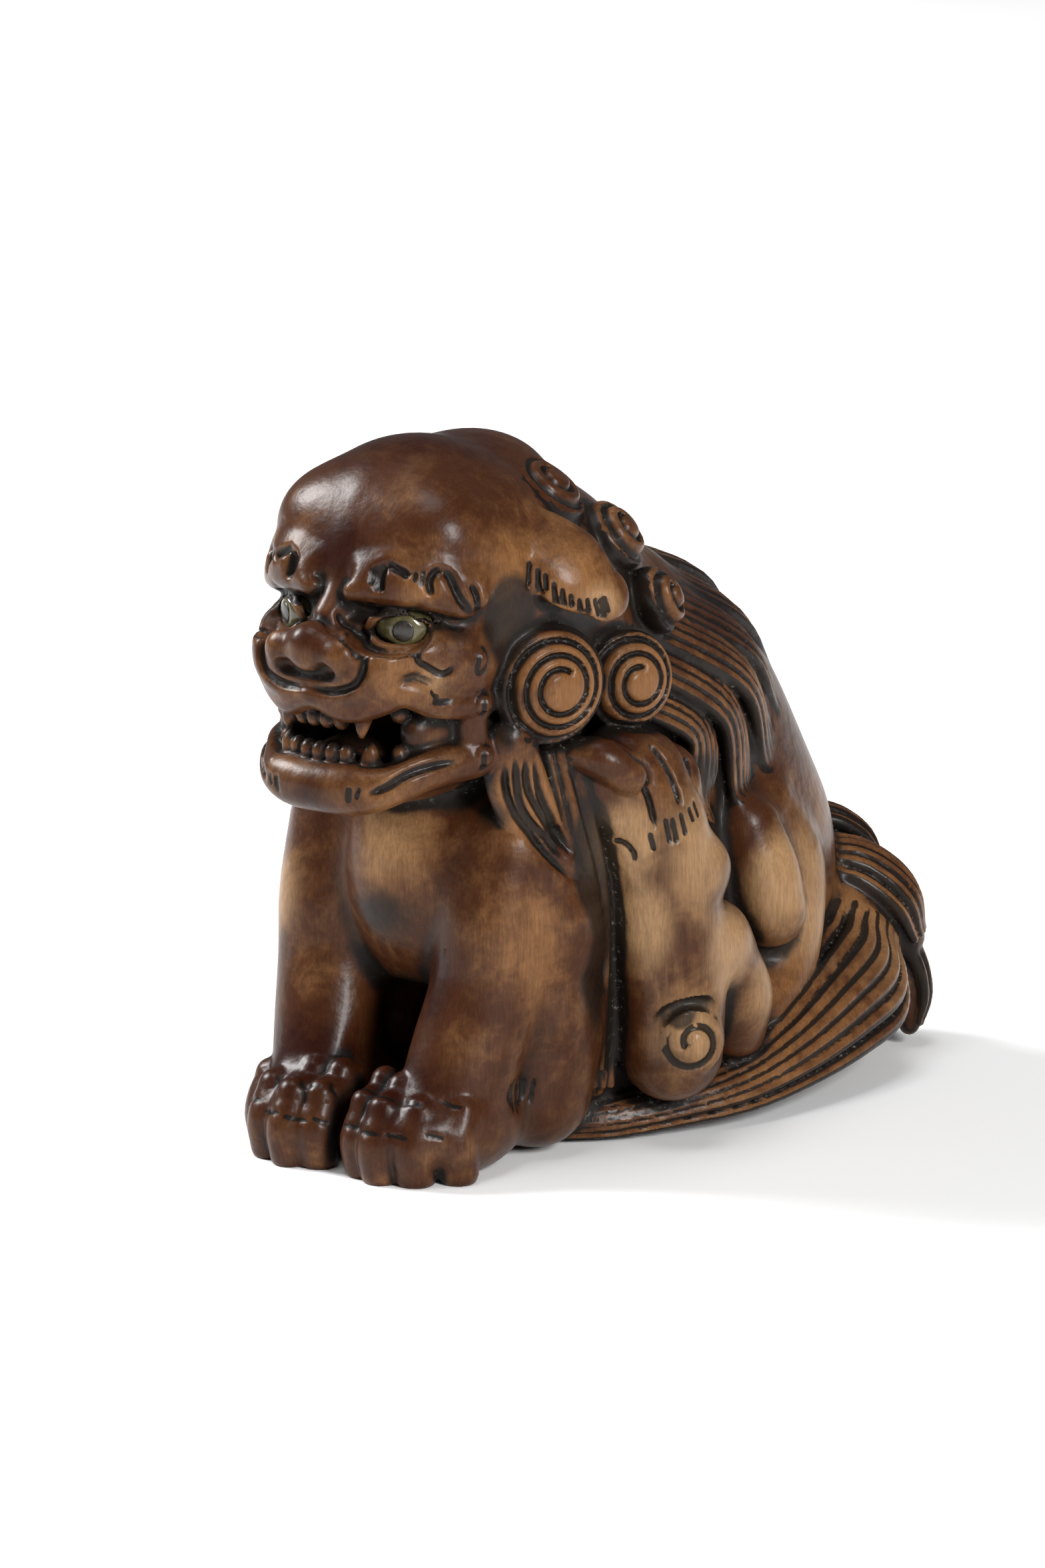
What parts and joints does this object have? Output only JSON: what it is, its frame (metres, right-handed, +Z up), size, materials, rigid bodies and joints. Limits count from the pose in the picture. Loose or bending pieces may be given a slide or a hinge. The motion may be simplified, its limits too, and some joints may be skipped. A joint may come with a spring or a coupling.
{
  "type": "netsuke",
  "caption": "Carved boxwood netsuke of a seated guardian lion, mouth open, scratching its curled mane with a raised hind paw, with inlaid horn eyes and cord holes underneath.",
  "frame": {"origin": "middle of the underside of the bounding box", "axes": "+Z up, the lion looks along -Y, its left side faces +X"},
  "size_m": [0.0227, 0.0425, 0.035],
  "materials": {
    "boxwood": "carved and stained boxwood, polished by handling, dark in the hollows",
    "horn": "polished translucent olive horn",
    "dark_horn": "polished dark horn"
  },
  "bodies": {
    "root": {"body": "boxwood", "eye_left": "horn", "eye_right": "horn", "pupil_left": "dark_horn", "pupil_right": "dark_horn"}
  },
  "joints": []
}
